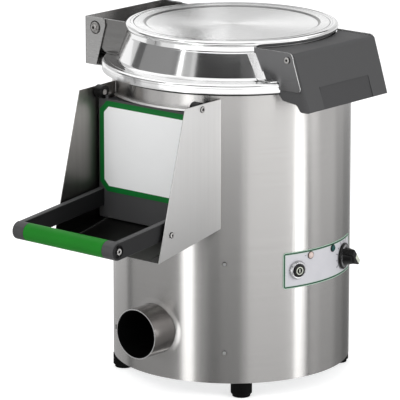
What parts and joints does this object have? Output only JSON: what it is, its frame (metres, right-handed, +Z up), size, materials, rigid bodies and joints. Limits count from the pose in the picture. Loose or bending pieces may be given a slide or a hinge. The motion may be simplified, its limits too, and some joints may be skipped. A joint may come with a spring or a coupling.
{
  "type": "electric potato peeler",
  "caption": "Upright steel drum peeler on rubber feet, with a hinged lid, a lift-up discharge door with a bar handle, a drain outlet and a side panel with a button, lamps and a timer dial.",
  "frame": {"origin": "on the drum's vertical axis, at the base plate's underside, above the rubber feet", "axes": "+Z up along the drum's axis, -Y out through the discharge chute and the drain, +X towards the control panel and the lid's handle, -X towards the lid's hinge"},
  "size_m": [0.437, 0.5863, 0.5351],
  "materials": {
    "brushed_steel": "satin brushed stainless sheet",
    "polished_steel": "polished stainless",
    "chrome_ring": "chromed",
    "screw_steel": "turned stainless",
    "zinc_steel": "zinc plated",
    "black_rubber": "matte moulded rubber",
    "abrasive": "coarse silicon carbide grit",
    "black_plastic": "satin moulded",
    "grey_plastic": "fine-grained moulded",
    "green_plastic": "satin moulded",
    "label_film": "printed film",
    "white_lens": "clear lens",
    "green_lens": "tinted lens",
    "cast_metal": "as cast",
    "motor_paint": "satin paint",
    "white_plastic": "moulded"
  },
  "bodies": {
    "housing": {"body_shell": "brushed_steel", "base_plate": "brushed_steel", "foot_front_left": "black_rubber", "foot_front_right": "black_rubber", "foot_rear_left": "black_rubber", "foot_rear_right": "black_rubber", "abrasive_liner": "abrasive", "sump_pan": "brushed_steel", "drain_pipe": "brushed_steel", "opening_lip": "polished_steel", "discharge_chute": "brushed_steel", "door_glide_left": "black_plastic", "door_glide_right": "black_plastic", "door_pivot_screw_left": "screw_steel", "door_pivot_screw_right": "screw_steel", "hinge_bracket": "brushed_steel", "hinge_bolt_front": "screw_steel", "hinge_bolt_rear": "screw_steel", "lid_reed_switch": "black_plastic", "door_reed_switch": "black_plastic", "control_label": "label_film", "button_bezel": "chrome_ring", "contact_block": "white_plastic", "white_lamp": "white_lens", "green_lamp": "green_lens", "timer_body": "white_plastic", "bearing_housing": "cast_metal", "shaft_bearing": "zinc_steel", "shaft_seal": "black_rubber", "drive_belt": "black_rubber", "motor_housing": "motor_paint", "motor_bracket": "zinc_steel", "electrics_box": "white_plastic", "water_inlet": "polished_steel", "cable_gland": "black_plastic"},
    "lid": {"lid_shell": "polished_steel", "lid_gasket": "black_rubber", "hinge_ear_front": "brushed_steel", "hinge_ear_rear": "brushed_steel", "handle_ear_front": "brushed_steel", "handle_ear_rear": "brushed_steel", "lid_handle_cover": "grey_plastic", "cover_screw_front": "screw_steel", "cover_screw_rear": "screw_steel", "lid_magnet": "cast_metal"},
    "door": {"discharge_door": "grey_plastic", "door_pivot_bush_left": "black_plastic", "door_pivot_bush_right": "black_plastic", "door_label": "label_film", "handle_grip": "green_plastic", "handle_rod": "screw_steel", "door_magnet": "cast_metal"},
    "rotor": {"main_shaft": "zinc_steel", "peeling_plate": "abrasive", "plate_nut": "screw_steel", "driven_pulley": "cast_metal"},
    "motor_rotor": {"motor_shaft": "zinc_steel", "motor_pulley": "cast_metal"},
    "timer_knob": {"timer_knob": "black_plastic"},
    "start_button": {"start_button": "black_plastic"}
  },
  "joints": [
    {"name": "lid_hinge", "type": "hinge", "parent": "housing", "child": "lid", "pos_m": [-0.194, 0, 0.4915], "axis": [0, -1, 0], "range_deg": [0, 100]},
    {"name": "door_hinge", "type": "hinge", "parent": "housing", "child": "door", "pos_m": [0, -0.19, 0.42246], "axis": [-1, 0, 0], "range_deg": [0, 80]},
    {"name": "plate_spin", "type": "hinge", "parent": "housing", "child": "rotor", "pos_m": [0, 0, 0.21796], "axis": [0, 0, 1], "continuous": true},
    {"name": "motor_spin", "type": "hinge", "parent": "housing", "child": "motor_rotor", "pos_m": [0, 0.11404, 0.056], "axis": [0, 0, 1], "continuous": true},
    {"name": "timer_turn", "type": "hinge", "parent": "housing", "child": "timer_knob", "pos_m": [0.17272, 0.05446, 0.16696], "axis": [-0.9537, -0.3007, 0], "range_deg": [0, 300]},
    {"name": "start_press", "type": "slide", "parent": "housing", "child": "start_button", "axis": [-0.9527, 0.304, 0], "range_m": [0, 0.003], "stiffness_N_per_m": 800, "springref_m": -0.002}
  ],
  "couplings": [
    {"joint": "motor_spin", "follows": "plate_spin", "ratio": 3}
  ]
}
